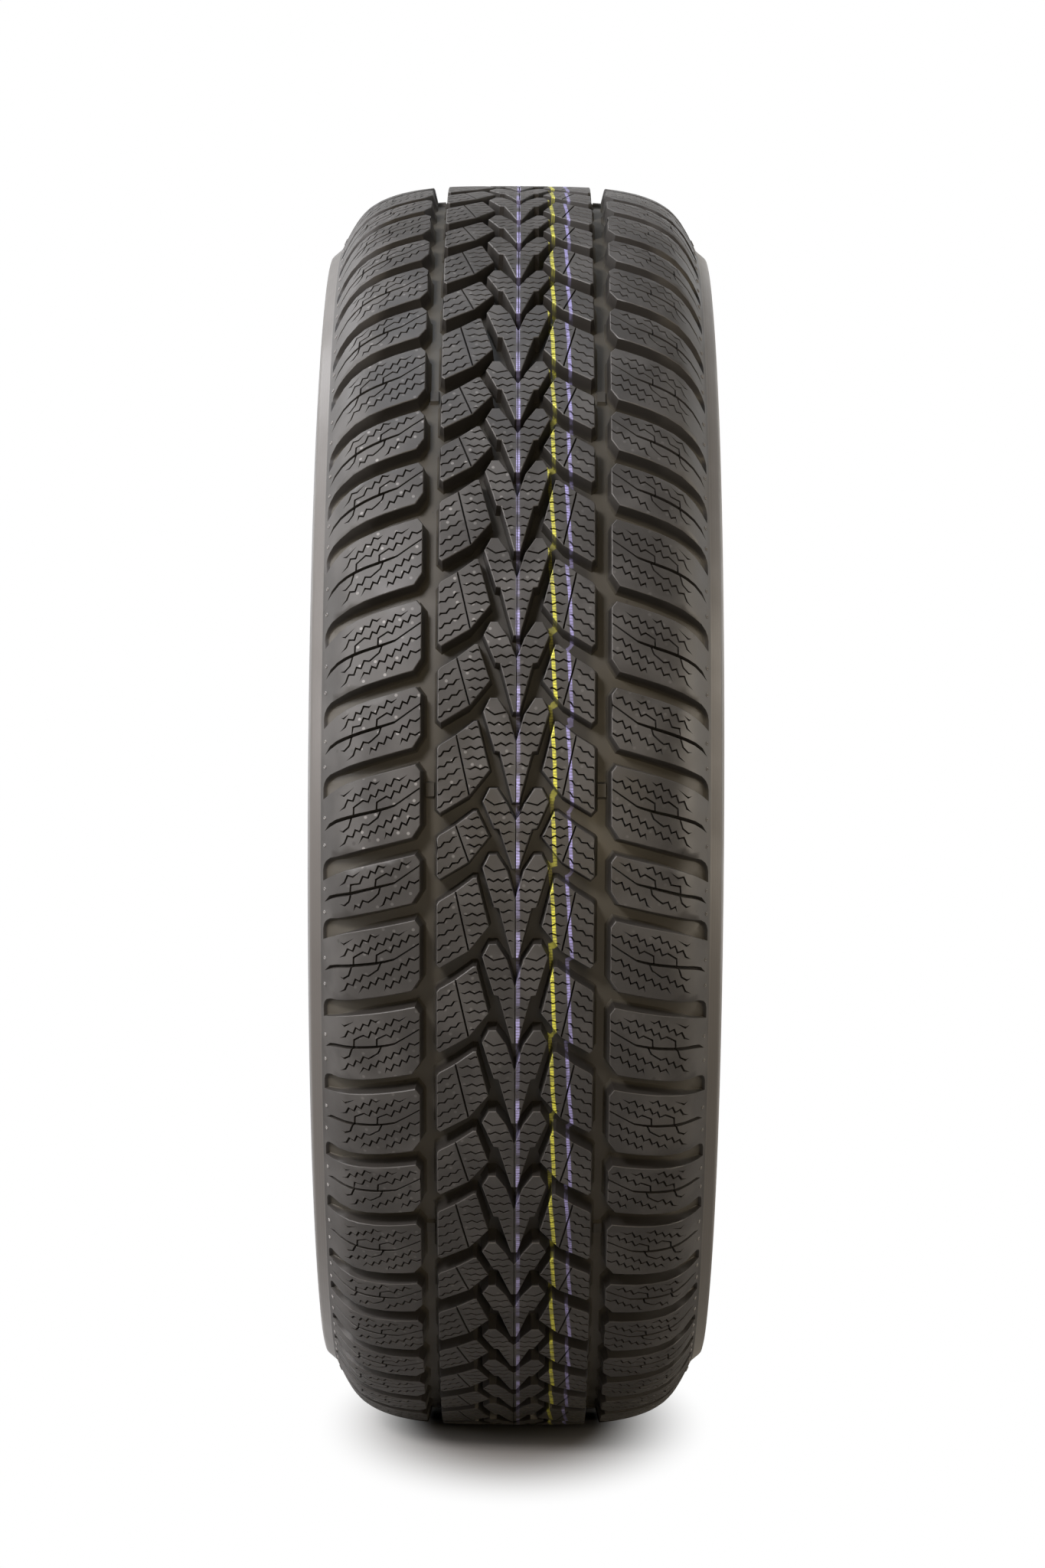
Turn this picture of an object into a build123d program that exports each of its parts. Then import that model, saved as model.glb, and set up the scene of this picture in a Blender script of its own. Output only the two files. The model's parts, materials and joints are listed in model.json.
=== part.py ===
from build123d import *
from math import atan2, cos, degrees, pi, radians, sin
import os

os.makedirs("parts", exist_ok=True)

# Main sizes of the tyre in millimetres. The wheel's centre is the origin and the wheel turns about Y.
outer_diameter = 622.0
section_width = 190.5
bead_seat_diameter = 380.2
bead_heel_spacing = 150.0
bead_seat_width = 14.0
bead_heel_cut = 1.5
sidewall_thickness = 7.5
crown_thickness = 9.0
flat_spot_depth = 1.6

# The tread: groove depth, the lean of the block walls in degrees and the widths across half of the tread
tread_depth = 8.4
wall_draft = 5.0
arrow_half_width = 14.9
main_groove_inner = 35.0
main_groove_outer = 42.6
shoulder_sweep = 30.4
shoulder_groove_width = 7.2
shoulder_groove_rise = 15.0

# Corners of the blocks around the tread: starts from the ears of their own arrow, ends from the next one's
arrow_ear_drop = 5.2
arrow_tip_end = 7.0
slanted_inner_start = 10.4
slanted_outer_start = 21.2
slanted_inner_end = -7.8
slanted_middle_end = 3.5
slanted_outer_end = 11.0
shoulder_corner_cut = 1.5

# Pitch lengths around the tread, in steps, and the order in which they follow one another downwards
first_pitch_angle = 72.35
pitch_steps = {"S": 11, "M": 13, "L": 15}
seen_order = "MSMSLSSLLMLSLLLMLSMSSS"
back_order = "LMLLSMSLSSMLMLLSLMSSLMLLMSLSSMLSMS"
pitch_order = seen_order + back_order

outer_radius = outer_diameter / 2
seat_radius = bead_seat_diameter / 2
half_width = section_width / 2
half_heel = bead_heel_spacing / 2
seat_edge = half_heel - bead_heel_cut
section_height = outer_radius - seat_radius
floor_radius = outer_radius - tread_depth
liner_radius = floor_radius - crown_thickness
floor_knee = 0.56 * half_width
floor_edge = 0.89 * half_width
floor_fall = degrees(atan2(0.215 * section_height - tread_depth, floor_edge - floor_knee))
step_angle = 360 / sum(pitch_steps[size] for size in pitch_order)

# Where each pitch begins, as a turn downwards from the front of the wheel
pitch_starts = []
turn = -first_pitch_angle
for size in pitch_order:
    pitch_starts.append(turn)
    turn += step_angle * pitch_steps[size]


def below_crown(share):
    """Radius at a share of the section height under the crown."""
    return outer_radius - share * section_height


# Groove floor: a flat for each pitch, level under the middle of the tread and falling to the buttress
floor_corners = [
    radians(start + 0.55 * step_angle * pitch_steps[size])
    for start, size in zip(pitch_starts, pitch_order)
]
floor_outline = [
    (floor_radius * cos(corner), -floor_radius * sin(corner)) for corner in floor_corners
]
with BuildPart() as floor:
    with BuildSketch(Plane.XZ.offset(-floor_edge)):
        with BuildLine():
            Polyline(floor_outline, close=True)
        make_face()
    extrude(amount=floor_edge - floor_knee)
    slopes = floor.faces().filter_by(Axis.Y, reverse=True)
    draft(slopes, Plane.XZ.offset(-floor_knee), -floor_fall)
    mirror(about=Plane.XZ)
    with BuildSketch(Plane.XZ.offset(-floor_knee)):
        with BuildLine():
            Polyline(floor_outline, close=True)
        make_face()
    extrude(amount=2 * floor_knee)

# Carcass: buttress, sidewalls and beads turned about the axle, hollow inside
with BuildPart() as carcass:
    add(floor.part)
    Cylinder(below_crown(0.38), section_width, rotation=(90, 0, 0), mode=Mode.SUBTRACT)
    with BuildSketch(Plane.XY.rotated((0, 180, 0))):
        with BuildLine():
            Polyline(
                (0.97 * seat_radius, 0),
                (0.97 * seat_radius, seat_edge),
                (seat_radius, seat_edge),
                (below_crown(0.93), half_heel + 0.2 * (half_width - half_heel)),
                (below_crown(0.82), half_heel + 0.72 * (half_width - half_heel)),
                (below_crown(0.69), half_width),
                (below_crown(0.41), half_width),
                (below_crown(0.295), 0.972 * half_width),
                (below_crown(0.272), 0.924 * half_width),
                (below_crown(0.22), 0.886 * half_width),
                (below_crown(0.30), 0.80 * half_width),
                (below_crown(0.30), 0),
            )
            mirror(about=Plane.XZ)
        make_face()
    revolve(axis=Axis.Y)
    with BuildSketch(Plane.XY.rotated((0, 180, 0))):
        with BuildLine():
            Polyline(
                (0, 0),
                (0, section_width),
                (seat_radius, section_width),
                (seat_radius, seat_edge - bead_seat_width),
                (below_crown(0.72), half_width - sidewall_thickness),
                (below_crown(0.38), half_width - sidewall_thickness),
                (liner_radius, 0.58 * half_width),
                (liner_radius, 0),
            )
            mirror(about=Plane.XZ)
        make_face()
    revolve(axis=Axis.Y, mode=Mode.SUBTRACT)

# Crown: a straight bar of tread with the section of its top, which each block is cut from
crown_radius = outer_radius * cos(radians(step_angle * pitch_steps["M"] / 2))
with BuildPart() as crown:
    with BuildSketch(Plane.XY):
        with BuildLine():
            Polyline(
                (crown_radius, 0),
                (crown_radius, 0.38 * half_width),
                (crown_radius - 0.037 * section_height, 0.65 * half_width),
                (crown_radius - 0.10 * section_height, 0.80 * half_width),
                (crown_radius - 0.235 * section_height, 0.994 * floor_edge),
                (crown_radius - 0.235 * section_height, 0.86 * half_width),
                (crown_radius - 0.145 * section_height, 0.70 * half_width),
                (floor_radius - 0.5 * crown_thickness, 0.46 * half_width),
                (floor_radius - 0.5 * crown_thickness, 0),
            )
            mirror(about=Plane.XZ)
        make_face()
    extrude(amount=section_width, both=True)


def raised_block(outline):
    """A block of the tread from an outline of points across and around it, with drafted walls."""
    around = [point[1] for point in outline]
    middle = (min(around) + max(around)) / 2
    top = Plane.YZ.offset(outer_radius)
    with BuildPart() as block:
        with BuildSketch(top):
            with BuildLine():
                Polyline([(across, middle - at) for across, at in outline], close=True)
            make_face()
        extrude(amount=-0.25 * section_height)
        draft(block.faces().filter_by(Axis.X, reverse=True), top, wall_draft)
        add(crown.part, mode=Mode.INTERSECT)
    return block.part.rotate(Axis.Y, degrees(middle / outer_radius))


def both_sides(outline):
    """The outline of a block that crosses the centre line, from its right half."""
    return outline + [(-across, at) for across, at in reversed(outline) if across]


def arrow_block(pitch):
    """The arrow of the centre rib: two ears, a notch for the arrow before and a tip."""
    half = arrow_half_width
    return both_sides(
        [
            (0, 0.49 * pitch),
            (0.62 * half, 0),
            (half, arrow_ear_drop),
            (0, pitch + arrow_tip_end),
        ]
    )


def slanted_block(pitch):
    """The slanted block between the arrow and the main groove."""
    inner = main_groove_inner
    return [
        (0.51 * inner, slanted_inner_start),
        (0.335 * inner, pitch + slanted_inner_end),
        (0.59 * inner, pitch + slanted_middle_end),
        (0.98 * inner, pitch + slanted_outer_end),
        (0.98 * inner, slanted_outer_start),
    ]


def shoulder_block(pitch):
    """The shoulder block, which runs out on the buttress."""
    end = pitch + shoulder_sweep - shoulder_groove_width
    rise = shoulder_groove_rise
    return [
        (main_groove_outer, shoulder_sweep),
        (main_groove_outer, end - shoulder_corner_cut),
        (1.08 * floor_edge, end + 1.12 * rise),
        (1.08 * floor_edge, shoulder_sweep + 1.12 * rise),
    ]


def tread_pitch(size):
    """Every block of one pitch, at the angle where its ears begin the tread."""
    pitch = outer_radius * step_angle * pitch_steps[size] * pi / 180
    arrow = raised_block(arrow_block(pitch))
    sides = [raised_block(slanted_block(pitch)), raised_block(shoulder_block(pitch))]
    return [arrow] + sides + [side.mirror(Plane.XZ) for side in sides]


def pressed_flat(block):
    """A block at the foot of the tyre, cut off at the ground it stands on."""
    with BuildPart() as foot:
        add(block)
        split(bisect_by=Plane.XY.offset(ground), keep=Keep.TOP)
    return foot.part


# Tread: the blocks of each pitch length, set around the carcass in their order, flat where it stands
ground = flat_spot_depth - outer_radius
pitches = {size: tread_pitch(size) for size in pitch_steps}
blocks = []
for start, size in zip(pitch_starts, pitch_order):
    for block in pitches[size]:
        placed = block.rotate(Axis.Y, start)
        reaches_ground = placed.bounding_box().min.Z < ground
        blocks.append(pressed_flat(placed) if reaches_ground else placed)

# Tyre: carcass and tread in one moulding
with BuildPart() as tyre:
    add(carcass.part)
    add(blocks, clean=False)

tyre.part.label = "tyre"
export_step(tyre.part, "parts/tyre.step")
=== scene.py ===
import json
import logging
import math
from dataclasses import dataclass, field
from enum import Enum
from functools import reduce

import bmesh
import bpy
import numpy as np
from mathutils import Matrix, Vector
from mathutils.geometry import delaunay_2d_cdt

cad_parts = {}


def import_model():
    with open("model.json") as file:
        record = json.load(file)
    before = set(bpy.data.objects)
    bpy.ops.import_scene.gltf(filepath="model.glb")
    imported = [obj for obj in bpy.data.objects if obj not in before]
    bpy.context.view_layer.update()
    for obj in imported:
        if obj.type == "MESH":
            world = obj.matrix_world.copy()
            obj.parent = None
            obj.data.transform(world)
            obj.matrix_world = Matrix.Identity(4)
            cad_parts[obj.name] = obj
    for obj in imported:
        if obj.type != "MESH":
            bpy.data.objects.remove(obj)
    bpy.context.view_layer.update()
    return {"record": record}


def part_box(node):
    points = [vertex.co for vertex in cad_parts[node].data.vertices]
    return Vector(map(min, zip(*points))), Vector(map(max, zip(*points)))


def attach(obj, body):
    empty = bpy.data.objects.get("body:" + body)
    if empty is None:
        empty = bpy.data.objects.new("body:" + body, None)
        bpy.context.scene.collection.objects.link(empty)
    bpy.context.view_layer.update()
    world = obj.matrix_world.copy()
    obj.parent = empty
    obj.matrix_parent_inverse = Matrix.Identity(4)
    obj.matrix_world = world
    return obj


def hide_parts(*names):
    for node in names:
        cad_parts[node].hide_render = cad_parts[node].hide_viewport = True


# Lengths are in millimetres until a mesh is made. On the unrolled tread a point has two numbers: how far
# it lies across, from the centre line along the axle, and how far around, downwards at the front.
LOG = logging.getLogger("tyre")
MM = 0.001
UV_NAME = "OFBake"
RELIEF = "relief"
LATE = "late"
SIDES = (1.0, -1.0)
WHITE = (1.0, 1.0, 1.0, 1.0)
LONGEST_EDGE = 13.0
STRAIGHT_TURN = 0.03
MITRE_LIMIT = 2.4
TINY = 1e-9
Point = tuple[float, float]
Path = tuple[Point, ...]
Colour = tuple[float, float, float, float]
Triple = tuple[float, float, float]
Ramp = tuple[float, float, Point]
Rims = tuple[np.ndarray | None, np.ndarray | None]
Socket = bpy.types.NodeSocket


class PitchSize(Enum):
    """The three pitch lengths of the tread, in steps of the wheel's turn."""

    S = 11
    M = 13
    L = 15

    @property
    def share(self) -> float:
        """Where the length lies between the shortest, 0, and the longest, 1."""
        return (self.value - PitchSize.S.value) / (PitchSize.L.value - PitchSize.S.value)


class Coat(Enum):
    """Which finish a face of the tyre takes."""

    TREAD = 0
    CASING = 1


@dataclass(frozen=True)
class SmoothCurve:
    """A smooth curve through a few knots, as a function of their first number."""

    knots: Path

    def at(self, where: np.ndarray | float) -> np.ndarray:
        """Evaluates the curve.

        Args:
            where: One or more places along the first number of the knots.

        Returns:
            The second number at each place.
        """
        x, y = np.array(self.knots, float).T
        slope = np.gradient(y, x)
        where = np.clip(np.asarray(where, float), x[0], x[-1])
        i = np.clip(np.searchsorted(x, where, side="right") - 1, 0, len(x) - 2)
        h = x[i + 1] - x[i]
        t = (where - x[i]) / h
        start = (1 + 2 * t) * (1 - t) ** 2 * y[i] + t * (1 - t) ** 2 * h * slope[i]
        return start + t * t * (3 - 2 * t) * y[i + 1] + t * t * (t - 1) * h * slope[i + 1]


def lengths_along(points: np.ndarray) -> np.ndarray:
    """How far along a path each of its points lies."""
    return np.append(0, np.cumsum(np.linalg.norm(np.diff(points, axis=0), axis=1)))


def spread(first: float, last: float, spacing: float) -> np.ndarray:
    """Places from the first to the last, evenly spread and about a spacing apart."""
    return np.linspace(first, last, round((last - first) / spacing) + 1)


def between(short: Path, long: Path, share: float) -> np.ndarray:
    """Blends a line of the shortest pitch with the same line of the longest."""
    return np.array(short) + (np.array(long) - np.array(short)) * share


def split_quads(quads: np.ndarray) -> np.ndarray:
    """Splits faces of four corners into triangles."""
    return np.concatenate([quads[:, [0, 1, 2]], quads[:, [0, 2, 3]]])


def smooth_path(knots: Path | np.ndarray, count: int) -> np.ndarray:
    """Rounds a path off through its knots.

    Args:
        knots: The points that the path goes through.
        count: How many points to give, evenly spread.

    Returns:
        The points as an array of two columns.
    """
    points = np.array(knots, float)
    along = lengths_along(points)
    where = np.linspace(0, along[-1], count)
    columns = [SmoothCurve(tuple(zip(along, column))).at(where) for column in points.T]
    return np.stack(columns, axis=1)


def divided(points: np.ndarray, longest: float) -> np.ndarray:
    """Divides the long edges of a path.

    Args:
        points: The corners of the path.
        longest: The longest edge allowed.

    Returns:
        The path with points added on its long edges.
    """
    out = [points[:1]]
    for first, last in zip(points[:-1], points[1:]):
        parts = max(1, math.ceil(float(np.linalg.norm(last - first)) / longest))
        shares = np.arange(1, parts + 1)[:, None] / parts
        out.append(first + (last - first) * shares)
    return np.concatenate(out)


def moved_out(chain: np.ndarray, offsets: np.ndarray) -> np.ndarray:
    """Moves a path sideways, to the right of its run, each edge by its own distance.

    Args:
        chain: The path, with one neighbour before its first point and one after its last.
        offsets: The distance for each edge of the chain.

    Returns:
        The moved points, without the two neighbours.
    """
    edges = np.diff(chain, axis=0)
    normals = np.stack([edges[:, 1], -edges[:, 0]], axis=1)
    normals /= np.linalg.norm(normals, axis=1)[:, None]
    (ax, ay), (bx, by) = normals[:-1].T, normals[1:].T
    a, b = offsets[:-1], offsets[1:]
    turn = ax * by - ay * bx
    straight = np.abs(turn) < STRAIGHT_TURN
    safe = np.where(straight, 1.0, turn)
    corner = np.stack([(a * by - b * ay) / safe, (b * ax - a * bx) / safe], axis=1)
    plain = (normals[:-1] * a[:, None] + normals[1:] * b[:, None]) / 2
    step = np.where(straight[:, None], plain, corner)
    length = np.maximum(np.linalg.norm(step, axis=1), TINY)
    limit = MITRE_LIMIT * np.maximum(np.abs(a), np.abs(b))
    return chain[1:-1] + step * np.minimum(1.0, limit / length)[:, None]


def inside(points: np.ndarray, polygon: np.ndarray) -> np.ndarray:
    """Tells which points lie inside a polygon.

    Args:
        points: The points to test.
        polygon: The corners of the polygon.

    Returns:
        True for each point inside.
    """
    x, y = points[:, :1], points[:, 1:]
    (ax, ay), (bx, by) = polygon.T, np.roll(polygon, -1, axis=0).T
    crosses = (ay > y) != (by > y)
    reach = (bx - ax) * (y - ay) / np.where(by == ay, 1.0, by - ay) + ax
    return np.sum(crosses & (x < reach), axis=1) % 2 == 1


def meeting(start: np.ndarray, run: np.ndarray, rim: np.ndarray) -> np.ndarray | None:
    """Finds where a straight run first meets a rim.

    Args:
        start: Where the run starts.
        run: How far it goes across and around.
        rim: The points of the rim.

    Returns:
        The place of the first meeting, or None.
    """
    edge, away = np.diff(rim, axis=0), rim[:-1] - start
    turn = run[0] * edge[:, 1] - run[1] * edge[:, 0]
    turn = np.where(np.abs(turn) < TINY, TINY, turn)
    along = (away[:, 0] * edge[:, 1] - away[:, 1] * edge[:, 0]) / turn
    share = (away[:, 0] * run[1] - away[:, 1] * run[0]) / turn
    hits = along[(share >= 0.0) & (share <= 1.0) & (along > 0.0) & (along <= 1.0)]
    return start + run * hits.min() if len(hits) else None


@dataclass(frozen=True)
class Crown:
    """The rounded top of the tread and the depth of its grooves."""

    ground: float
    outer_radius: float = 311.0
    tread_depth: float = 8.4
    edge: float = 87.7
    run_out: Point = (63.0, 86.4)
    run_out_share: float = 0.80
    run_out_power: float = 2.4
    level_half: float = 1.0
    slope_step: float = 0.2
    drop: SmoothCurve = SmoothCurve(
        (
            (0.0, 0.0), (18.0, 0.1), (30.0, 0.4), (42.0, 1.1), (52.0, 2.5), (62.7, 5.2),
            (69.9, 8.3), (75.5, 12.2), (79.6, 16.8), (83.0, 22.2), (85.4, 26.8), (87.7, 31.4),
        )
    )

    def groove_depth(self, across: np.ndarray) -> np.ndarray:
        """Finds how deep the grooves are, which run out towards the buttress.

        Args:
            across: Places across the tread.

        Returns:
            The depth of the groove floor under the top at each place.
        """
        start, end = self.run_out
        share = np.clip((np.abs(across) - start) / (end - start), 0.0, 1.0)
        return self.tread_depth * (1 - self.run_out_share * share**self.run_out_power)

    def place(self, across: np.ndarray, around: np.ndarray, depth: np.ndarray) -> np.ndarray:
        """Wraps points of the unrolled tread onto the wheel.

        Args:
            across: Places across the tread.
            around: Places around the tread.
            depth: Depths under its top.

        Returns:
            The points in metres, one row each.
        """
        side, step = np.abs(across), self.slope_step
        slope = (self.drop.at(side - step) - self.drop.at(side + step)) / (2 * step)
        slope = np.where(side < self.level_half, 0.0, slope)
        length = np.hypot(1.0, slope)
        radius = self.outer_radius - self.drop.at(side) - depth / length
        across = np.sign(across) * (side + slope / length * depth)
        turn = around / self.outer_radius
        height = np.maximum(-radius * np.sin(turn), self.ground)
        return np.stack([radius * np.cos(turn), across, height], axis=1) * MM


@dataclass
class Relief:
    """Points and lines of one unrolled half pitch, each with its depth under the top of the tread."""

    points: list[Point] = field(default_factory=list)
    depths: list[float] = field(default_factory=list)
    edges: list[tuple[int, int]] = field(default_factory=list)
    known: dict[Point, int] = field(default_factory=dict)
    digits: int = 4
    merge: float = 5e-4
    slit_reach: float = 2.0

    def dot(self, point: np.ndarray | Point, depth: float) -> int:
        """Adds one point.

        Args:
            point: Its place across and around.
            depth: Its depth.

        Returns:
            Its number.
        """
        key = (round(float(point[0]), self.digits), round(float(point[1]), self.digits))
        if key not in self.known:
            self.known[key] = len(self.points)
            self.points.append(key)
            self.depths.append(float(depth))
        return self.known[key]

    def line(self, points: np.ndarray, depths: np.ndarray | float, closed: bool = False) -> list[int]:
        """Adds a line that the faces keep to.

        Args:
            points: Its points.
            depths: One depth, or one for each point.
            closed: Whether it ends where it starts.

        Returns:
            The numbers of its points.
        """
        depths = np.broadcast_to(depths, len(points))
        numbers = [self.dot(point, depth) for point, depth in zip(points, depths)]
        pairs = list(zip(numbers, numbers[1:] + numbers[:1]))
        self.edges += [pair for pair in (pairs if closed else pairs[:-1]) if pair[0] != pair[1]]
        return numbers

    def slit(
        self,
        path: np.ndarray,
        half_width: np.ndarray | float,
        depth: np.ndarray | float,
        rims: Rims = (None, None),
    ) -> np.ndarray:
        """Adds a narrow groove. Its ends are pointed, or open where they run out through a rim.

        Args:
            path: Its middle line, of three points or more.
            half_width: Half of its width, for all or each of its points.
            depth: Its depth, for all or each of its points.
            rims: The rim that its start and its end run out through, if any.

        Returns:
            The outline of the groove.
        """
        half = np.broadcast_to(half_width, len(path))
        bed = np.c_[path, np.broadcast_to(depth, len(path))][1:-1]
        flanks = [moved_out(path, side * (half[:-1] + half[1:]) / 2) for side in SIDES]
        lines = [bed] + [np.c_[flank, np.zeros(len(flank))] for flank in flanks]
        for end, near, rim in ((0, 1, rims[0]), (-1, -2, rims[1])):
            run = self.slit_reach * (path[end] - path[near])
            met = [None if rim is None else meeting(line[end, :2], run, rim) for line in lines]
            opened = all(point is not None for point in met)
            for number in range(0 if opened else 1, len(lines)):
                line = lines[number]
                last = [*met[number], line[end, 2]] if opened else [*path[end], 0.0]
                lines[number] = np.insert(line, 0 if end == 0 else len(line), last, axis=0)
        for line in lines:
            self.line(line[:, :2], line[:, 2])
        return np.concatenate([lines[1], lines[2][::-1]])[:, :2]

    def clear_of_lines(self, points: np.ndarray, distance: float) -> np.ndarray:
        """Tells which points keep a distance from every line.

        Args:
            points: The points to test.
            distance: The distance to keep.

        Returns:
            True for each point that keeps it.
        """
        first, last = np.array(self.points)[np.array(self.edges).T]
        run = last - first
        away = points[:, None, :] - first[None, :, :]
        share = np.clip(np.sum(away * run, axis=2) / np.sum(run * run, axis=1), 0.0, 1.0)
        gap = np.linalg.norm(away - share[:, :, None] * run[None, :, :], axis=2)
        return gap.min(axis=1) > distance

    def faces(self, border: list[int]) -> tuple[np.ndarray, np.ndarray, np.ndarray]:
        """Fills the sheet with triangles that keep to its lines.

        Args:
            border: The points around the sheet, in order.

        Returns:
            The points, their depths and the triangles.
        """
        inside_border = 1
        verts, _, faces, origins, _, _ = delaunay_2d_cdt(
            [Vector(point) for point in self.points], self.edges, [border], inside_border, self.merge
        )
        points, sheet = np.array([tuple(vert) for vert in verts]), np.array(self.points)
        sources = [
            origin[0] if origin else int(np.argmin(np.linalg.norm(sheet - point, axis=1)))
            for point, origin in zip(points, origins)
        ]
        crossings = sum(1 for origin in origins if not origin)
        if crossings:
            LOG.warning("%d lines of the tread cross", crossings)
        return points, np.array(self.depths)[sources], np.array([tuple(face) for face in faces])


@dataclass(frozen=True)
class BlockWalls:
    """How the side of a tread block goes down to the groove floor."""

    crown: Crown
    bevel: float = 0.4
    bevel_depth: float = 0.35
    bevel_share: float = 0.3
    least_bevel: float = 0.35
    least_run: float = 0.15
    steps: Path = ((0.52, 0.86), (1.0, 1.0))

    def build(self, sheet: Relief, chain: np.ndarray, runs: np.ndarray, closed: bool) -> list[np.ndarray]:
        """Adds the rim, the wall and the foot of a block.

        Args:
            sheet: The sheet to add to.
            chain: The block's outline with a neighbour at both ends, the block on its left.
            runs: How far the wall of each edge leans out.
            closed: Whether the outline ends where it starts.

        Returns:
            Every ring from the rim of the top to the foot of the wall, with a column for its depth.
        """
        floor, edge = self.crown.groove_depth, chain[1:-1]
        share = floor((chain[:-1, 0] + chain[1:, 0]) / 2) / self.crown.tread_depth
        rim = moved_out(chain, -self.bevel * np.maximum(self.least_bevel, share))
        bevel_depth = np.minimum(self.bevel_depth, self.bevel_share * floor(edge[:, 0]))
        rings = [np.c_[rim, np.zeros(len(rim))], np.c_[edge, bevel_depth]]
        for out, down in self.steps:
            ring = moved_out(chain, out * np.maximum(self.least_run, runs * share))
            rings.append(np.c_[ring, down * floor(ring[:, 0])])
        for ring in rings:
            sheet.line(ring[:, :2], ring[:, 2], closed)
        return rings


@dataclass(frozen=True)
class Sipes:
    """The thin cuts in the tops of the blocks."""

    half_width: float = 0.40
    depth: float = 3.4
    gap: float = 0.35
    overrun: float = 0.5
    shortest: float = 2.5
    middle_half: float = 0.2
    middle_edge: float = 6.0
    middle_reach: float = 12.0
    row: float = 4.55
    swing: float = 0.55
    step: float = 2.15
    wave_start: float = 44.8
    wave: float = 6.95
    wave_bends: tuple[float, ...] = (0.0, 2.4, 3.75, 5.8)
    wave_rise: float = 2.4
    wave_rounds: tuple[int, int] = (-1, 7)
    wave_margins: tuple[float, float] = (0.9, 0.7)

    def wavy(self, sheet: Relief, start: Point, end: Point, rims: Rims) -> None:
        """Cuts a wavy sipe.

        Args:
            sheet: The sheet to add to.
            start: Where it starts.
            end: Where it ends.
            rims: The rim that its start and its end run out through, if any.
        """
        run = np.array(end) - start
        length = float(np.linalg.norm(run))
        count = max(2, round(length / self.step))
        swings = self.swing * np.where(np.arange(count + 1) % 2, 1.0, -1.0)
        swings[[0, -1]] = 0.0
        line = start + np.outer(np.linspace(0, 1, count + 1), run)
        aside = np.array([run[1], -run[0]]) / length
        sheet.slit(line + np.outer(swings, aside), self.half_width, self.depth, rims)


@dataclass(frozen=True)
class ArrowBlock:
    """The arrow of the centre rib, of which the right half is drawn."""

    pitch: float
    notch_share: float = 0.49
    notch_bend: Point = (3.6, 7.3)
    ear: tuple[float, float] = (8.3, 11.7)
    ear_corner: Point = (14.7, 6.1)
    waist: tuple[float, float] = (9.4, 7.3)
    waist_step: float = 0.4
    waists: Path = ((29.5, 18.0), (34.9, 18.9), (40.3, 23.9))
    tip: Point = (1.4, 6.5)
    wall_run: float = 0.85
    ear_sipe: tuple[float, float] = (6.2, 4.4)
    ear_sipe_bend: Point = (9.6, 7.6)
    ear_sipe_lead: float = 0.2
    ear_sipe_edge: float = 3.2
    rows: tuple[float, float] = (7.0, -1.0)
    row_margin: float = 0.6

    @property
    def notch_end(self) -> float:
        """Where the notch between the ears ends."""
        return self.notch_share * self.pitch

    @property
    def waist_at(self) -> float:
        """Where the arrow steps in, which the pitch's length settles."""
        return float(np.interp(self.pitch, *zip(*self.waists)))

    def outline(self) -> tuple[np.ndarray, np.ndarray]:
        """Draws the right half of the outline.

        Returns:
            Its corners with mirrored neighbours, and how far the wall of each edge leans out.
        """
        end, step_end = self.pitch + self.tip[1], self.waist_at + self.waist_step
        corners = [
            (0.0, self.notch_end), self.notch_bend, (self.ear[0], 0.0), (self.ear[1], 0.0), self.ear_corner,
            (self.waist[0], self.waist_at), (self.waist[1], step_end), (self.tip[0], end), (0.0, end),
        ]
        half, mirror = divided(np.array(corners), LONGEST_EDGE), np.array([-1.0, 1.0])
        chain = np.concatenate([half[1:2] * mirror, half, half[-2:-1] * mirror])
        return chain, np.full(len(chain) - 1, self.wall_run)

    def inner(self, around: float) -> float:
        """How far from the centre the top begins: at the edge of the notch, or at the middle cut."""
        at = [0.0, self.notch_bend[1], self.notch_end]
        return float(np.interp(around, at, [self.ear[0], self.notch_bend[0], 0.0]))

    def outer(self, around: float) -> float:
        """Finds how far from the centre the top ends, at the arrow's side.

        Args:
            around: The place around the tread.

        Returns:
            The distance from the centre line.
        """
        waist, end = self.waist_at, self.pitch + self.tip[1]
        at = [0.0, self.ear_corner[1], waist, waist + self.waist_step, end]
        return float(np.interp(around, at, [self.ear[1], self.ear_corner[0], *self.waist, self.tip[0]]))

    def cut(self, sheet: Relief, rim: np.ndarray, sipes: Sipes) -> None:
        """Adds the rows of wavy sipes and the straight one down the middle.

        Args:
            sheet: The sheet to add to.
            rim: The rim of the block's top.
            sipes: Their sizes.
        """
        out, margin, (start_at, end_at) = sipes.overrun, self.row_margin, self.ear_sipe
        start = (self.inner(start_at + self.ear_sipe_lead) - out, start_at)
        ear = np.array([start, self.ear_sipe_bend, (self.outer(end_at) + out, end_at)])
        sheet.slit(divided(ear, self.ear_sipe_edge), sipes.half_width, sipes.depth, (rim, rim))
        for at in spread(self.rows[0], self.pitch + self.rows[1], sipes.row)[1:]:
            notched = at + margin < self.notch_end
            left = self.inner(at) - out if notched else sipes.middle_half + sipes.gap
            right = max(self.outer(at - margin), self.outer(at + margin)) + out
            if right - left > sipes.shortest:
                sipes.wavy(sheet, (left, at), (right, at), (rim if notched else None, rim))
        middle = divided(np.array([rim[0], rim[-1]]), sipes.middle_edge)
        flank, reach = middle[1:-1] + [sipes.middle_half, 0.0], np.array([0.0, sipes.middle_reach])
        sheet.line(np.stack([meeting(flank[0], -reach, rim), *flank, meeting(flank[-1], reach, rim)]), 0.0)
        for number in sheet.line(middle, sipes.depth):
            sheet.depths[number] = sipes.depth


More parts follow.
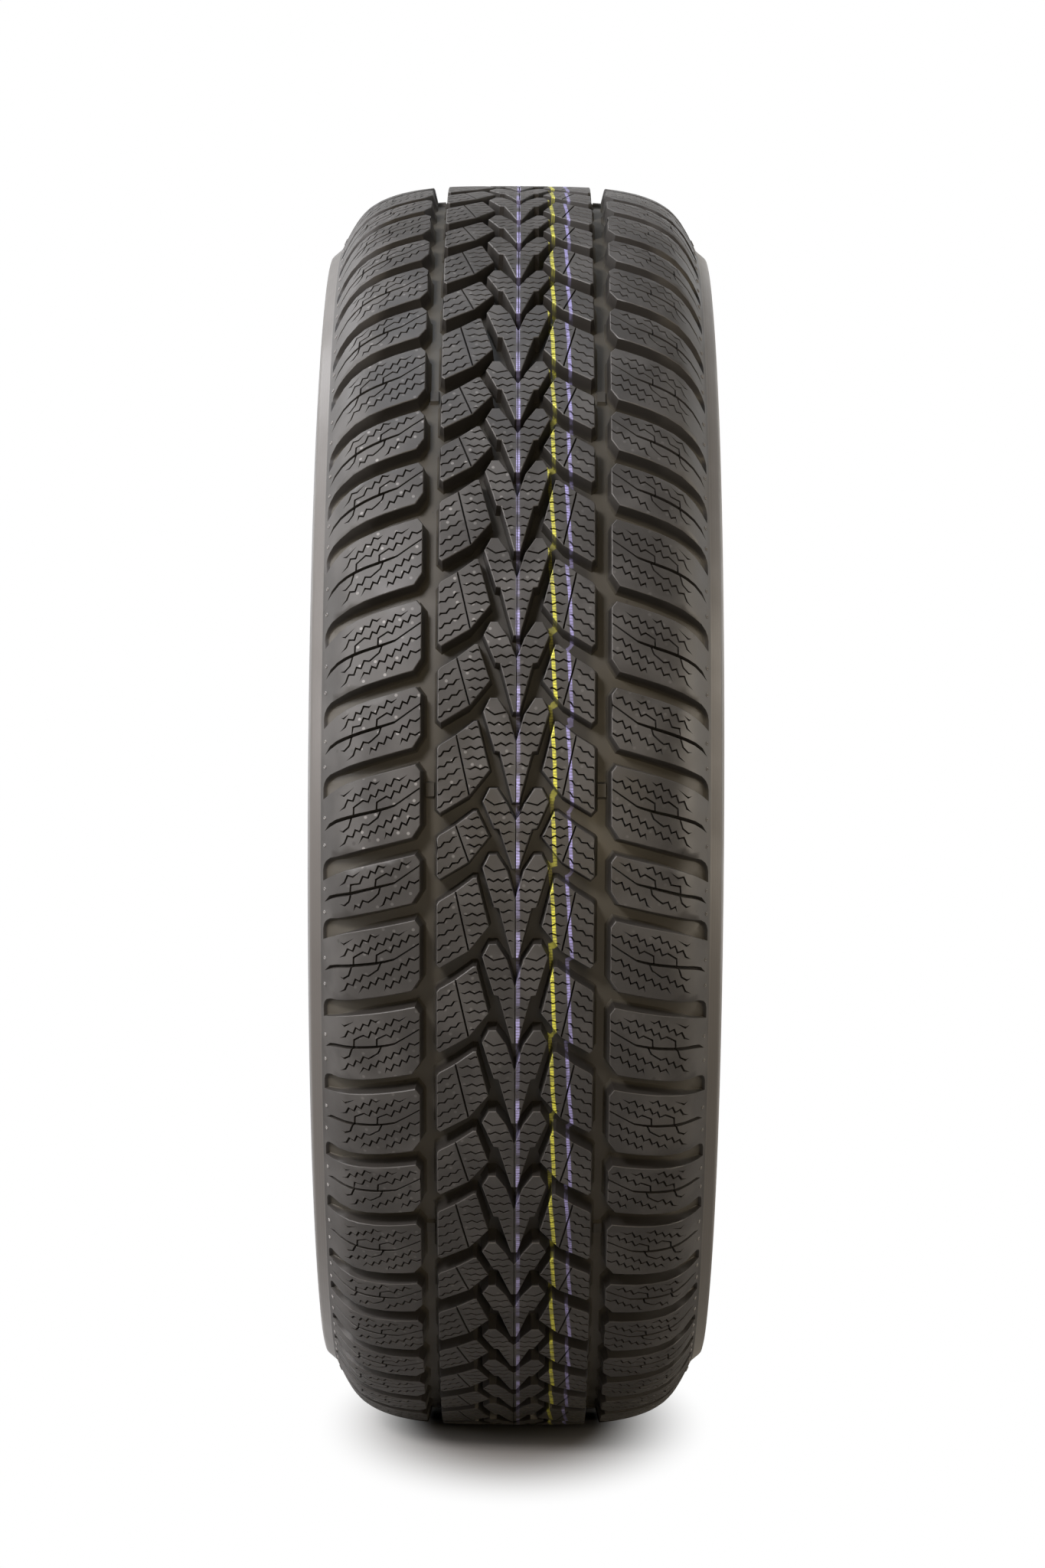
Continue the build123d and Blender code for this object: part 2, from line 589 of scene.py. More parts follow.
@dataclass(frozen=True)
class SlantedBlock:
    """The slanted block between the arrow and the main groove."""

    pitch: float
    top: Path = ((17.2, 10.4), (18.7, 10.4), (27.0, 16.8), (34.0, 21.1), (35.0, 22.6))
    foot: Path = ((35.0, 10.0), (33.6, 11.4), (20.6, 3.5), (11.7, -7.8))
    wall_runs: tuple[float, ...] = (1.4, 1.4, 1.4, 1.9, 1.9, 1.4, 1.4, 0.9, 0.9)
    groove_top: Point = (26.7, 16.6)
    groove_end: Point = (20.6, 3.0)
    groove_half: float = 0.42
    groove_depth: float = 4.5
    groove_overrun: float = 1.0
    groove_edge: float = 8.0
    inner_rows: Triple = (13.6, 0.2, 4.3)
    inner_lead: float = 1.0
    outer_rows: Triple = (21.4, 1.2, 4.6)
    sweep: float = 0.58

    def corners(self) -> np.ndarray:
        """The corners of the outline, those of the foot moved on by the pitch."""
        return np.array([*self.top, *((across, at + self.pitch) for across, at in self.foot)])

    def outline(self) -> tuple[np.ndarray, np.ndarray]:
        """Draws the outline.

        Returns:
            Its corners with their neighbours, and how far the wall of each edge leans out.
        """
        points, runs, corners = [], [], self.corners()
        for corner, following, run in zip(corners, np.roll(corners, -1, axis=0), self.wall_runs):
            edge = divided(np.array([corner, following]), LONGEST_EDGE)[:-1]
            points.append(edge)
            runs += [run] * len(edge)
        loop = np.concatenate(points)
        return np.concatenate([loop[-1:], loop, loop[:1]]), np.array(runs[-1:] + runs)

    def groove_at(self, around: float) -> float:
        """How far across the straight groove is at a place around the tread."""
        ends = [self.groove_top[1], self.pitch + self.groove_end[1]]
        return float(np.interp(around, ends, [self.groove_top[0], self.groove_end[0]]))

    def cut(self, sheet: Relief, rim: np.ndarray, sipes: Sipes) -> None:
        """Adds the straight groove and the wavy sipes on both sides of it.

        Args:
            sheet: The sheet to add to.
            rim: The rim of the block's top.
            sipes: Their sizes.
        """
        rim, corners = np.concatenate([rim, rim[:1]]), self.corners()
        end = (self.groove_end[0], self.pitch + self.groove_end[1] + self.groove_overrun)
        groove = divided(np.array([self.groove_top, end]), self.groove_edge)
        sheet.slit(groove, self.groove_half, self.groove_depth, (rim, rim))
        beside = self.groove_half + sipes.gap
        (top, top_at), (slope, slope_at) = corners[[0, -1, -2]].T, corners[1:3].T
        first, last, spacing = self.inner_rows
        for at in spread(first, self.pitch + last, spacing):
            left = float(np.interp(at, top_at, top)) - sipes.overrun
            corner = float(np.interp(at - self.inner_lead, slope_at, slope))
            right = min(self.groove_at(at) - beside, corner)
            if right - left > sipes.shortest:
                sipes.wavy(sheet, (left, at), (right, at), (rim, None))
        first, last, spacing = self.outer_rows
        for at in spread(first, self.pitch + last, spacing):
            left, right = self.groove_at(at) + beside, self.top[-1][0] + sipes.overrun
            sipes.wavy(sheet, (left, at), (right, at + self.sweep * (right - left)), (None, rim))


@dataclass(frozen=True)
class Cut:
    """A sipe of the shoulder block in the shortest and the longest pitch, plain or with a wavy edge."""

    short: Path
    long: Path
    wavy: int | None = 0

    def path(self, share: float, sipes: Sipes) -> np.ndarray:
        """Draws the middle line.

        Args:
            share: Where the pitch lies between the shortest and the longest.
            sipes: The sizes of the sipes.

        Returns:
            The points of the line.
        """
        line = between(self.short, self.long, share)
        if self.wavy is None:
            return line
        first, last = line[self.wavy : self.wavy + 2]
        rounds = sipes.wave_start + sipes.wave * np.arange(*sipes.wave_rounds)[:, None]
        across = (rounds + np.array(sipes.wave_bends)).ravel()
        rise = sipes.wave_rise * (np.arange(len(across)) % 2)
        around = np.interp(across, [first[0], last[0]], [first[1], last[1]]) - rise
        before, after = sipes.wave_margins
        kept = (across > first[0] + before + rise) & (across < last[0] - after)
        tail = line[self.wavy + 2 :] if len(line) > self.wavy + 2 else line[-1:]
        return np.concatenate([line[: self.wavy + 1], np.stack([across, around], axis=1)[kept], tail])


@dataclass(frozen=True)
class ShoulderBlock:
    """The swept shoulder block, which runs out on the buttress."""

    pitch: float
    share: float
    start: float = 30.4
    inner: float = 42.4
    inner_ends: tuple[float, float] = (-13.6, 2.5)
    end: float = 86.4
    corner: float = 14.9
    main_run: float = 1.9
    main_reach: float = 0.4
    cross_run: float = 1.6
    top: SmoothCurve = SmoothCurve(
        ((42.4, -1.2), (50.0, 0.8), (55.5, 2.2), (65.6, 4.8), (75.7, 8.0), (80.8, 10.6), (86.4, 14.9))
    )
    top_at: tuple[float, ...] = (44.7, 50.0, 57.0, 64.0, 71.0, 76.0, 80.0, 83.5)
    foot: SmoothCurve = SmoothCurve(((46.0, -7.9), (55.0, -5.5), (65.0, -2.8), (75.0, 0.1), (83.3, 3.4)))
    foot_at: tuple[float, ...] = (83.3, 80.0, 75.0, 68.0, 60.0, 52.0, 46.0)
    hook: Path = ((86.4, 9.6), (86.0, 7.2), (85.1, 5.2))
    notch_short: Path = (
        (42.0, 3.9), (48.0, 8.2), (54.0, 12.6), (60.0, 14.3), (70.0, 17.3),
        (75.0, 19.0), (80.0, 20.6), (83.2, 22.3), (85.8, 25.6),
    )
    notch_long: Path = (
        (42.0, 9.6), (48.0, 13.8), (54.0, 18.0), (60.0, 19.9), (70.0, 22.3),
        (75.0, 23.7), (80.0, 25.4), (83.2, 27.4), (85.8, 30.8),
    )
    notch_straight: int = 2
    notch_points: int = 10
    notch_reach: float = 2.6
    notch_half: tuple[float, ...] = (0.32, 0.34, 0.45, 0.74, 0.78, 0.82, 0.84, 0.80, 0.45)
    notch_depth: tuple[float, ...] = (3.4, 3.4, 4.0, 5.4, 5.4, 4.8, 3.6, 2.4, 0.8)
    shortest_cut: float = 4.0
    cuts: tuple[Cut, ...] = (
        Cut(
            ((45.8, 2.2), (58.6, 11.5), (62.1, 11.2), (62.4, 14.0)),
            ((41.9, 5.1), (58.6, 17.0), (61.8, 16.5), (61.9, 19.3)),
        ),
        Cut(
            ((57.5, 4.8), (71.0, 14.7), (73.5, 14.5), (73.7, 17.4)),
            ((48.1, 4.1), (70.0, 19.5), (72.2, 18.9), (72.3, 21.8)),
        ),
        Cut(((68.9, 7.7), (79.0, 16.0)), ((60.2, 6.6), (79.0, 20.9))),
        Cut(
            ((60.4, 15.4), (60.9, 17.6), (63.4, 20.2), (72.3, 26.9)),
            ((60.3, 20.9), (61.3, 23.4), (64.0, 25.6), (79.0, 37.8)), 2,
        ),
        Cut(
            ((73.6, 19.5), (74.3, 22.4), (76.4, 24.7), (78.6, 24.4)),
            ((73.6, 25.0), (74.5, 28.1), (77.0, 30.4), (78.8, 30.0)), None,
        ),
        Cut(((41.9, 10.2), (60.7, 23.9)), ((41.9, 15.8), (70.0, 35.9))),
        Cut(((41.9, 16.7), (45.0, 18.6)), ((41.9, 22.0), (58.3, 33.3))),
        Cut(((77.0, 10.5), (77.4, 10.9), (77.8, 10.7)), ((72.0, 9.7), (76.8, 13.7), (78.6, 13.0)), None),
    )
    vent_before: Point = (85.6, 6.6)
    vent_after: Point = (85.7, 0.17)

    def outline(self) -> tuple[np.ndarray, np.ndarray]:
        """Draws the outline from the next corner at the buttress to the own one.

        Returns:
            Its corners with their neighbours, and how far the wall of each edge leans out.
        """
        after, pitch_on = self.start + self.pitch, np.array([0.0, self.pitch])
        foot = np.stack([self.foot_at, after + self.foot.at(self.foot_at)], axis=1)
        top = np.stack([self.top_at, self.start + self.top.at(self.top_at)], axis=1)
        own, hook = np.array([(self.end, self.start + self.corner)]), np.array(self.hook)
        ends = np.array(self.inner_ends) + [after, self.start]
        inner = divided(np.stack([np.full(2, self.inner), ends], axis=1), LONGEST_EDGE)
        coming = [top[-1:] + pitch_on, own + pitch_on, hook + [0.0, after]]
        chain = np.concatenate([*coming, foot, inner, top, own, hook[:1] + [0.0, self.start]])
        middle = (chain[:-1, 0] + chain[1:, 0]) / 2
        return chain, np.where(middle < self.inner + self.main_reach, self.main_run, self.cross_run)

    def cut(self, sheet: Relief, rim: np.ndarray, sipes: Sipes) -> None:
        """Adds the notch groove and the wavy sipes on both sides of it.

        Args:
            sheet: The sheet to add to.
            rim: The rim of the block's top.
            sipes: Their sizes.
        """
        shift, bend = np.array([0.0, self.start]), self.notch_straight
        knots = between(self.notch_short, self.notch_long, self.share)
        path = np.concatenate([knots[:bend], smooth_path(knots[bend:], self.notch_points)])
        sizes = (self.notch_half, self.notch_depth)
        half, depth = (np.interp(path[:, 0], knots[:, 0], size) for size in sizes)
        notch = sheet.slit(path + shift, half, depth, (rim, None))
        for cut in self.cuts:
            line = cut.path(self.share, sipes)
            if np.linalg.norm(line[-1] - line[0]) > self.shortest_cut:
                gaps = [np.linalg.norm(path - end, axis=1).min() for end in line[[0, -1]]]
                first, last = (notch if gap < self.notch_reach else None for gap in gaps)
                first = rim if line[0, 0] < self.inner else first
                sheet.slit(line + shift, sipes.half_width, sipes.depth, (first, last))

    def vents(self) -> Path:
        """Finds where the two vent marks of the block are.

        Returns:
            Their places.
        """
        end = self.start + between(self.notch_short, self.notch_long, self.share)[-1, 1]
        (first, before), (second, pitch_share) = self.vent_before, self.vent_after
        return (first, end - before), (second, end + pitch_share * self.pitch)


@dataclass(frozen=True)
class VentMark:
    """The small round mark that a vent of the mould leaves."""

    width_share: float = 0.55
    foot: float = 1.05
    lip: float = 0.7
    lip_height: float = 0.4
    pit_depth: float = 0.35
    corners: int = 8

    def build(self, sheet: Relief, centre: Point) -> None:
        """Adds the mark.

        Args:
            sheet: The sheet to add to.
            centre: Where it is.
        """
        turn = np.linspace(0, 2 * math.pi, self.corners + 1)[:-1]
        circle = np.stack([self.width_share * np.cos(turn), np.sin(turn)], axis=1)
        sheet.line(centre + self.foot * circle, 0.0, closed=True)
        sheet.line(centre + self.lip * circle, -self.lip_height, closed=True)
        sheet.dot(centre, self.pit_depth)


@dataclass(frozen=True)
class HalfPitch:
    """The right half of one pitch of the tread, unrolled, with all its blocks, cuts and groove floor."""

    crown: Crown
    pitch: float
    size: PitchSize
    columns: int = 2
    seam: Path = (
        (84.0, 38.6), (80.8, 37.7), (75.7, 35.8), (65.6, 32.9), (55.0, 30.3), (45.5, 27.2), (38.7, 20.0),
        (34.0, 16.2), (27.0, 12.1), (20.5, 7.4), (16.0, 3.6), (12.5, -2.2), (8.0, -2.6), (5.3, 1.4),
        (3.2, 5.7), (1.5, 9.0), (0.0, 9.9),
    )
    fill_across: tuple[Triple, ...] = ((2.5, 74.0, 5.0), (76.0, 87.2, 2.2))
    fill_around: Triple = (-4.0, 48.0, 4.6)
    fill_clear: float = 1.3

    @property
    def shoulder(self) -> ShoulderBlock:
        """The shoulder block of this pitch."""
        return ShoulderBlock(self.pitch, self.size.share)

    def build(self) -> tuple[np.ndarray, np.ndarray, np.ndarray]:
        """Draws the sheet and fills it with faces.

        Returns:
            The points, their depths and the triangles.
        """
        sheet, walls, sipes, strip = Relief(), BlockWalls(self.crown), Sipes(), self.strip()
        blocks = (ArrowBlock(self.pitch), SlantedBlock(self.pitch), self.shoulder)
        rings = [walls.build(sheet, *block.outline(), isinstance(block, SlantedBlock)) for block in blocks]
        border = self.border(sheet, rings[2], rings[0], strip)
        rims, feet = ([block_rings[end][:, :2] for block_rings in rings] for end in (0, -1))
        for block, rim in zip(blocks, rims):
            block.cut(sheet, rim, sipes)
        for vent in self.shoulder.vents():
            VentMark().build(sheet, vent)
        for outlines in (rims, feet):
            outlines[2] = np.concatenate([outlines[2], strip])
        self.fill(sheet, rims, feet)
        return sheet.faces(border)

    def strip(self) -> np.ndarray:
        """Draws the edge of the tread on the buttress.

        Returns:
            Its points from the own corner to the next.
        """
        first = self.shoulder.start + self.shoulder.corner
        around = np.linspace(first, first + self.pitch, self.columns + 1)
        return np.stack([np.full(len(around), self.crown.edge), around], axis=1)

    def border(
        self, sheet: Relief, rings: list[np.ndarray], arrow_rings: list[np.ndarray], strip: np.ndarray
    ) -> list[int]:
        """Adds the line around the sheet.

        Args:
            sheet: The sheet to add to.
            rings: The rings of the shoulder block.
            arrow_rings: The rings of the arrow.
            strip: The edge on the buttress.

        Returns:
            The numbers of the border's points, in order.
        """
        seam = np.array(self.seam)
        floor = self.crown.groove_depth(seam[:, 0])
        first = [*(ring[-1] for ring in rings), *np.c_[seam, floor]]
        last = [*(ring[0] for ring in rings), *np.c_[seam + [0.0, self.pitch], floor]]
        middle = [ring[0] for ring in reversed(arrow_rings)] + [ring[-1] for ring in arrow_rings]
        edge = np.c_[strip, np.zeros(len(strip))]
        loop = np.array([*edge, *last, *reversed(middle), *reversed(first)])
        return sheet.line(loop[:, :2], loop[:, 2], closed=True)

    def fill(self, sheet: Relief, rims: list[np.ndarray], feet: list[np.ndarray]) -> None:
        """Adds points on the tops and the floor, so that their faces follow the round of the tread.

        Args:
            sheet: The sheet to add to.
            rims: The rim of each block's top.
            feet: The foot of each block's wall.
        """
        first, beyond, spacing = self.fill_around
        across = np.concatenate([np.arange(*places) for places in self.fill_across])
        around = np.arange(first, self.pitch + beyond, spacing)
        grid = np.stack(np.meshgrid(across, around), axis=-1).reshape(-1, 2)
        grid[:, 1] += spacing / 2 * (np.arange(len(grid)) % 2)
        seam = np.array(self.seam)
        grid = grid[inside(grid, np.concatenate([self.strip(), seam + [0.0, self.pitch], seam[::-1]]))]
        grid = grid[sheet.clear_of_lines(grid, self.fill_clear)]
        on_top = np.any([inside(grid, rim) for rim in rims], axis=0)
        on_floor = ~np.any([inside(grid, foot) for foot in feet], axis=0)
        depths = np.where(on_top, 0.0, self.crown.groove_depth(grid[:, 0]))
        for point, depth, kept in zip(grid, depths, on_top | on_floor):
            if kept:
                sheet.dot(point, depth)


@dataclass
class MeshParts:
    """Faces of the tyre as they are gathered, before they are welded."""

    points: list[np.ndarray] = field(default_factory=list)
    relief: list[np.ndarray] = field(default_factory=list)
    late: list[np.ndarray] = field(default_factory=list)
    triangles: list[np.ndarray] = field(default_factory=list)
    uvs: list[np.ndarray] = field(default_factory=list)
    coats: list[np.ndarray] = field(default_factory=list)
    count: int = 0
    weld: float = 3e-6
    sliver: float = 1e-7
    sharp_angle: float = 32.0

    def add(
        self,
        points: np.ndarray,
        relief: np.ndarray | float,
        triangles: np.ndarray,
        uv: np.ndarray,
        coat: Coat,
        side: float,
        late: np.ndarray | float = 0.0,
    ) -> None:
        """Adds a patch.

        Args:
            points: Its points in metres.
            relief: The depth of each point under the top of the tread, 1 on the groove floor.
            triangles: Its faces, as they turn on the left half of the tyre.
            uv: The place of each point on the texture sheet.
            coat: The finish of its faces.
            side: Which half of the tyre it is on, 1 or -1.
            late: How far each point lies past the end of its pitch.
        """
        triangles = triangles[:, ::-1] if side > 0 else triangles
        self.points.append(points)
        self.relief.append(np.broadcast_to(relief, len(points)))
        self.late.append(np.broadcast_to(late, len(points)))
        self.triangles.append(triangles + self.count)
        self.uvs.append(uv[triangles.ravel()])
        self.coats.append(np.full(len(triangles), coat.value))
        self.count += len(points)

    def make(self, name: str) -> bpy.types.Object:
        """Welds the patches into one mesh.

        Args:
            name: The name of the piece.

        Returns:
            The new object, linked to the scene.
        """
        points, triangles = np.concatenate(self.points), np.concatenate(self.triangles)
        mesh = bpy.data.meshes.new(name)
        mesh.vertices.add(len(points))
        mesh.vertices.foreach_set("co", points.astype(np.float32).ravel())
        mesh.loops.add(triangles.size)
        mesh.loops.foreach_set("vertex_index", triangles.astype(np.int32).ravel())
        mesh.polygons.add(len(triangles))
        mesh.polygons.foreach_set("loop_start", np.arange(0, triangles.size, 3, dtype=np.int32))
        mesh.polygons.foreach_set("material_index", np.concatenate(self.coats).astype(np.int32))
        mesh.update(calc_edges=True)
        layer = mesh.uv_layers.new(name=UV_NAME)
        layer.uv.foreach_set("vector", np.concatenate(self.uvs).astype(np.float32).ravel())
        for attribute, values in ((RELIEF, self.relief), (LATE, self.late)):
            layer = mesh.attributes.new(attribute, "FLOAT", "POINT")
            layer.data.foreach_set("value", np.concatenate(values).astype(np.float32))
        work = bmesh.new()
        work.from_mesh(mesh)
        bmesh.ops.remove_doubles(work, verts=work.verts, dist=self.weld)
        bmesh.ops.dissolve_degenerate(work, edges=work.edges, dist=self.sliver)
        open_edges = sum(1 for edge in work.edges if not edge.is_manifold)
        work.to_mesh(mesh)
        work.free()
        mesh.shade_smooth()
        mesh.set_sharp_from_angle(angle=math.radians(self.sharp_angle))
        LOG.info("%s: %d faces, %d open edges", name, len(mesh.polygons), open_edges)
        piece = bpy.data.objects.new(name, mesh)
        bpy.context.scene.collection.objects.link(piece)
        return piece


@dataclass(frozen=True)
class UvSheet:
    """The texture sheet: the tread and casing unrolled in two columns, the unseen inside small."""

    column: float = 400.0
    height: float = 990.0
    margin: float = 4.0
    halves: int = 2
    tread_at: float = 105.0
    tread_scale: float = 1.1
    walls_at: tuple[float, float] = (212.0, 306.0)
    wall_scale: float = 0.55
    inside_scale: float = 0.18
    spare: float = 0.995

    def half_of(self, number: int, count: int) -> tuple[int, int]:
        """Which column a piece of a ring belongs to, and the number of that column's first piece."""
        half = number * self.halves // count
        return half, half * count // self.halves

    def place(self, strip: np.ndarray, length: np.ndarray, half: int) -> np.ndarray:
        """Puts points on the sheet.

        Args:
            strip: Places across the unrolled column.
            length: Places along it.
            half: Which column they belong to.

        Returns:
            The places on the sheet, one row each.
        """
        across = strip + half * self.column + self.margin
        return np.stack([across, length + self.margin], axis=1) / self.height


@dataclass(frozen=True)
class WearBar:
    """A low bar across a main groove that shows the wear."""

    span: Point = (36.4, 41.0)
    half_length: float = 4.2
    top_share: Point = (0.86, 0.72)
    sunk: float = 0.6
    height: float = 1.6

    def solid(self, tread_depth: float) -> tuple[np.ndarray, np.ndarray, np.ndarray]:
        """Makes the bar on the unrolled tread.

        Args:
            tread_depth: The depth of the groove.

        Returns:
            Its points, their depths and its triangles.
        """
        (inner, outer), half = self.span, self.half_length
        outline = np.array([(inner, -half), (outer, -half), (outer, half), (inner, half)])
        middle = np.array([(inner + outer) / 2, 0.0])
        points = np.concatenate([outline, (outline - middle) * self.top_share + middle])
        sides = [(i, (i + 1) % 4, (i + 1) % 4 + 4, i + 4) for i in range(4)]
        quads = np.array(sides + [(3, 2, 1, 0), (4, 5, 6, 7)])
        return points, np.repeat([tread_depth + self.sunk, tread_depth - self.height], 4), split_quads(quads)


@dataclass
class Tread:
    """All the pitches of the tread, in the order in which they follow one another."""

    crown: Crown
    sheet: UvSheet
    first_angle: float = 72.35
    seen_order: str = "MSMSLSSLLMLSLLLMLSMSSS"
    back_order: str = "LMLLSMSLSSMLMLLSLMSSLMLLMSLSSMLSMS"
    marker_turns: tuple[float, ...] = (38.3, 1.5, -39.5, -79.0, -119.0, -160.0, 161.0, 120.0, 79.0)

    @property
    def order(self) -> list[PitchSize]:
        """The sizes of all pitches."""
        return [PitchSize[letter] for letter in self.seen_order + self.back_order]

    @property
    def circumference(self) -> float:
        """The length once around the tread."""
        return 2 * math.pi * self.crown.outer_radius

    def half_pitch(self, size: PitchSize) -> HalfPitch:
        """The half pitch of a size, with its length."""
        step = self.circumference / sum(each.value for each in self.order)
        return HalfPitch(self.crown, size.value * step, size)

    def starts(self) -> np.ndarray:
        """Finds where the pitches begin.

        Returns:
            The start of each pitch, and after the last one the place where the first begins again.
        """
        lengths = [self.half_pitch(size).pitch for size in self.order]
        first = -math.radians(self.first_angle) * self.crown.outer_radius
        return first + np.append(0, np.cumsum(lengths))

    def columns(self) -> np.ndarray:
        """The places around the tread where the casing joins it."""
        pairs = zip(self.starts(), self.order)
        return np.concatenate([start + self.half_pitch(size).strip()[:-1, 1] for start, size in pairs])

    def build(self, parts: MeshParts) -> None:
        """Adds both halves of every pitch and the wear bars.

        Args:
            parts: The faces gathered so far.
        """
        patterns = {size: self.half_pitch(size).build() for size in PitchSize}
        for size, (points, _, triangles) in patterns.items():
            LOG.info("half pitch %s: %d points, %d faces", size.name, len(points), len(triangles))
        starts = self.starts()
        for number, (start, size) in enumerate(zip(starts, self.order)):
            points, depths, triangles = patterns[size]
            half, first = self.sheet.half_of(number, len(self.order))
            relief = depths / self.crown.groove_depth(points[:, 0])
            around, late = points[:, 1] + start, points[:, 1] - self.half_pitch(size).pitch
            for side in SIDES:
                across = side * points[:, 0]
                placed = self.crown.place(across, around, depths)
                strip = self.sheet.tread_at + self.sheet.tread_scale * across
                uv = self.sheet.place(strip, around - starts[first], half)
                parts.add(placed, relief, triangles, uv, Coat.TREAD, side, late)
        self.markers(parts)

    def markers(self, parts: MeshParts) -> None:
        """Adds the wear bars to both main grooves.

        Args:
            parts: The faces gathered so far.
        """
        points, depths, triangles = WearBar().solid(self.crown.tread_depth)
        uv = np.full((len(points), 2), self.sheet.spare)
        for angle in self.marker_turns:
            around = points[:, 1] - math.radians(angle) * self.crown.outer_radius
            for side in SIDES:
                placed = self.crown.place(side * points[:, 0], around, depths)
                parts.add(placed, depths / self.crown.tread_depth, triangles, uv, Coat.TREAD, side)


@dataclass
class Casing:
    """Buttress band, sidewalls, beads and the inside, turned about the axle."""

    crown: Crown
    sheet: UvSheet
    seat_radius: float
    band: Path = ((88.1, 279.2), (91.8, 276.1), (92.7, 275.1))
    wall: Path = (
        (93.05, 273.7), (93.6, 268.5), (94.3, 260.0), (94.85, 250.0), (95.05, 240.0), (94.8, 230.0),
        (93.6, 221.0), (90.9, 212.5), (86.6, 205.0), (82.0, 199.0), (78.6, 195.0), (76.4, 192.4),
        (74.9, 190.7), (73.5, 190.1),
    )
    wall_points: int = 61
    wall_thinning: int = 3
    heel_points: int = 4
    toe: Path = ((60.2, 190.1), (59.5, 190.7))
    liner: Path = (
        (60.0, 192.0), (67.0, 203.0), (77.0, 214.5), (84.6, 226.0), (87.3, 240.0), (87.4, 254.0),
        (84.6, 268.0), (77.0, 280.0), (66.0, 288.0), (52.0, 292.2), (30.0, 293.5), (0.0, 293.6),
    )
    liner_points: int = 14
    ribs: Path = ((203.2, 0.7), (206.6, 0.45))
    rib_width: float = 0.8
    rib_lean: Point = (0.75, -0.65)
    rib_zone: Point = (200.0, 210.0)

    def section(self) -> np.ndarray:
        """Draws the right half of the section.

        Returns:
            Its points from the edge of the tread round to the middle of the inside.
        """
        crown, wall = self.crown, smooth_path(self.wall, self.wall_points)
        for radius, height in self.ribs:
            rise = height * np.exp(-(((wall[:, 1] - radius) / self.rib_width) ** 2))
            wall = wall + np.outer(rise, self.rib_lean)
        keep = (wall[:, 1] > self.rib_zone[0]) & (wall[:, 1] < self.rib_zone[1])
        keep[:: self.wall_thinning] = True
        keep[-self.heel_points :] = True
        edge = [(crown.edge, crown.outer_radius - float(crown.drop.at(crown.edge)))]
        liner = smooth_path(self.liner, self.liner_points)
        section = np.concatenate([edge, self.band, wall[keep], self.toe, liner])
        section[:, 1] = np.maximum(section[:, 1], self.seat_radius)
        return section

    def build(self, parts: MeshParts, columns: np.ndarray, circumference: float) -> None:
        """Adds the casing, welded to the tread's edges.

        Args:
            parts: The faces gathered so far.
            columns: Where its columns of faces meet the tread.
            circumference: The length once around the tread.
        """
        section, sheet = self.section(), self.sheet
        rows, first = len(section), np.arange(len(section) - 1)
        triangles = split_quads(np.stack([first, first + 1, first + 1 + rows, first + rows], axis=1))
        run = lengths_along(section)
        seen = np.minimum(run, run[np.argmin(section[:, 1])])
        strip = np.tile(sheet.wall_scale * seen + sheet.inside_scale * (run - seen), 2)
        across, radius = np.tile(section, (2, 1)).T
        closing = np.append(columns, columns[0] + circumference)
        for number in range(len(columns)):
            half, start = sheet.half_of(number, len(columns))
            around = np.repeat(closing[[number, number + 1]], rows)
            turn = around / self.crown.outer_radius
            ahead, up = radius * np.cos(turn), -radius * np.sin(turn)
            for side, base in zip(SIDES, sheet.walls_at):
                points = np.stack([ahead, side * across, up], axis=1) * MM
                uv = sheet.place(base + strip, around - closing[start], half)
                parts.add(points, 0.0, triangles, uv, Coat.CASING, side)


class Shader:
    """A tree of nodes, added and wired in short calls."""

    def __init__(self, owner: bpy.types.Material | bpy.types.World) -> None:
        """Empties the tree.

        Args:
            owner: The material or world that the tree belongs to.
        """
        owner.use_nodes = True
        self.owner = owner
        self.tree = owner.node_tree
        self.tree.nodes.clear()

    def node(self, kind: str, inputs: dict | None = None, **settings: object) -> bpy.types.Node:
        """Adds a node.

        Args:
            kind: What the node is.
            inputs: What goes into its sockets: a value, or a socket to link.
            settings: Its own settings.

        Returns:
            The node.
        """
        node = self.tree.nodes.new(f"ShaderNode{kind}")
        for key, value in settings.items():
            setattr(node, key, value)
        for key, value in (inputs or {}).items():
            if isinstance(value, Socket):
                self.tree.links.new(value, node.inputs[key])
            else:
                node.inputs[key].default_value = value
        return node

    def math(self, operation: str, first: object, second: object = 0.0) -> Socket:
        """Adds a sum of one or two values and gives its result."""
        return self.node("Math", {0: first, 1: second}, operation=operation).outputs[0]

    def product(self, *factors: Socket | float) -> Socket:
        """Multiplies any number of values and gives the result."""
        return reduce(lambda first, second: self.math("MULTIPLY", first, second), factors)

    def ramp(self, value: Socket, low: float, high: float, to: Point = (0.0, 1.0)) -> Socket:
        """Adds a soft step between two values and gives its result."""
        inputs = dict(enumerate((value, low, high, *to)))
        return self.node("MapRange", inputs, interpolation_type="SMOOTHSTEP").outputs[0]

    def mix(self, share: object, first: object, second: object) -> Socket:
        """Adds a mix of two colours and gives its result."""
        return self.node("Mix", {0: share, 6: first, 7: second}, data_type="RGBA").outputs[2]

    def noise(self, place: Socket, scale: float, detail: float) -> Socket:
        """Adds noise of a scale and gives its value."""
        inputs = {"Vector": place, "Scale": scale, "Detail": detail}
        return self.node("TexNoise", inputs).outputs[0]


